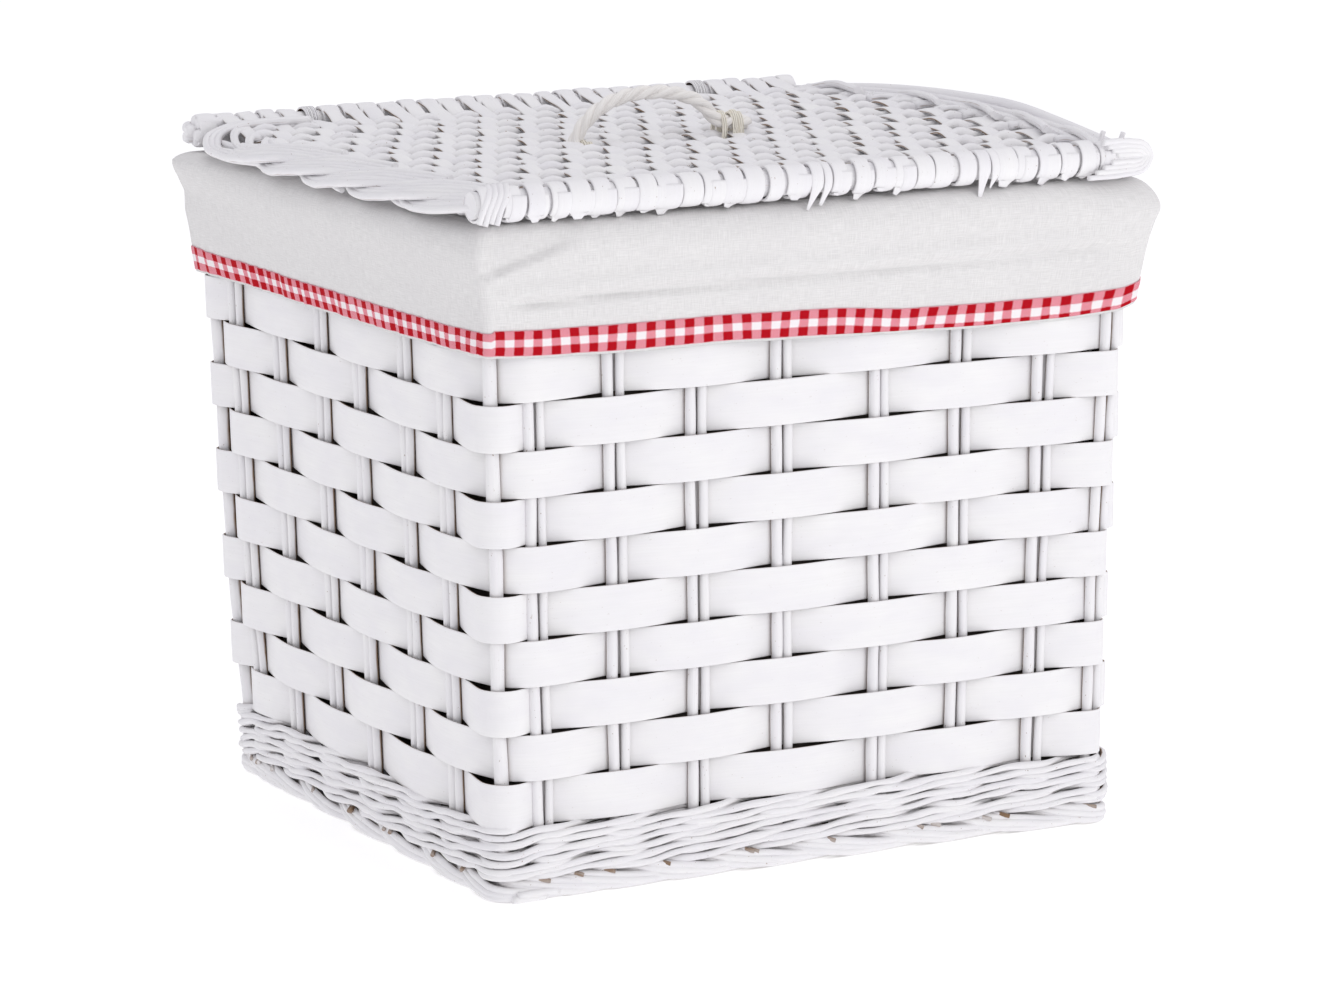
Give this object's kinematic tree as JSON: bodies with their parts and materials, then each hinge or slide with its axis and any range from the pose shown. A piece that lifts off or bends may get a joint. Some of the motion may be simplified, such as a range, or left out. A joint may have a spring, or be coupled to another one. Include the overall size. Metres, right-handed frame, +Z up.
{
  "type": "wicker picnic basket",
  "caption": "Square white-painted wicker picnic basket with a hinged woven lid, a cord handle and a cotton lining turned over the rim with a gingham ribbon.",
  "frame": {"origin": "under the middle of the basket, on the surface it stands on", "axes": "+Z up; the front, the side that the lid opens from, faces -Y; +X is to the right of someone facing the front"},
  "size_m": [0.43, 0.4154, 0.4176],
  "materials": {
    "painted_rods": "round willow rods under thin white paint, with bare tan wood in the gaps",
    "painted_strips": "flat wood-chip strips under smooth satin white paint",
    "lining_cotton": "plain-woven pale grey cotton with a linen look",
    "gingham": "red and white gingham ribbon with narrow pink edges",
    "paper_cord": "cream twisted paper cord"
  },
  "bodies": {
    "basket": {"foot_border": "painted_rods", "base_panel": "painted_rods", "base_stick_1": "painted_rods", "base_stick_2": "painted_rods", "base_stick_3": "painted_rods", "base_stick_4": "painted_rods", "base_stick_5": "painted_rods", "waling_lower": "painted_rods", "waling_middle": "painted_rods", "waling_upper": "painted_rods", "strip_row_01": "painted_strips", "strip_row_02": "painted_strips", "strip_row_03": "painted_strips", "strip_row_04": "painted_strips", "strip_row_05": "painted_strips", "strip_row_06": "painted_strips", "strip_row_07": "painted_strips", "strip_row_08": "painted_strips", "strip_row_09": "painted_strips", "strip_row_10": "painted_strips", "strip_row_11": "painted_strips", "waling_rim": "painted_rods", "front_stakes": "painted_rods", "right_stakes": "painted_rods", "back_stakes": "painted_rods", "left_stakes": "painted_rods", "corner_post_front_left": "painted_rods", "corner_post_front_right": "painted_rods", "corner_post_back_left": "painted_rods", "corner_post_back_right": "painted_rods", "lining_bag": "lining_cotton", "lining_flap": "lining_cotton", "gingham_ribbon": "gingham", "hinge_loop_left": "painted_rods", "hinge_loop_right": "painted_rods"},
    "lid": {"lid_front_rod": "painted_rods", "lid_back_rod": "painted_rods", "lid_left_border": "painted_rods", "lid_right_border": "painted_rods", "lid_stick_01": "painted_rods", "lid_stick_02": "painted_rods", "lid_stick_03": "painted_rods", "lid_stick_04": "painted_rods", "lid_stick_05": "painted_rods", "lid_stick_06": "painted_rods", "lid_stick_07": "painted_rods", "lid_stick_08": "painted_rods", "lid_stick_09": "painted_rods", "lid_stick_10": "painted_rods", "lid_stick_11": "painted_rods", "lid_stick_12": "painted_rods", "lid_stick_13": "painted_rods", "lid_weave": "painted_strips", "handle": "paper_cord", "handle_lashing_right": "paper_cord", "handle_lashing_left": "paper_cord"}
  },
  "joints": [
    {"name": "lid_hinge", "type": "hinge", "parent": "basket", "child": "lid", "pos_m": [0, 0.197, 0.3843], "axis": [-1, 0, 0], "range_deg": [0, 210]}
  ]
}
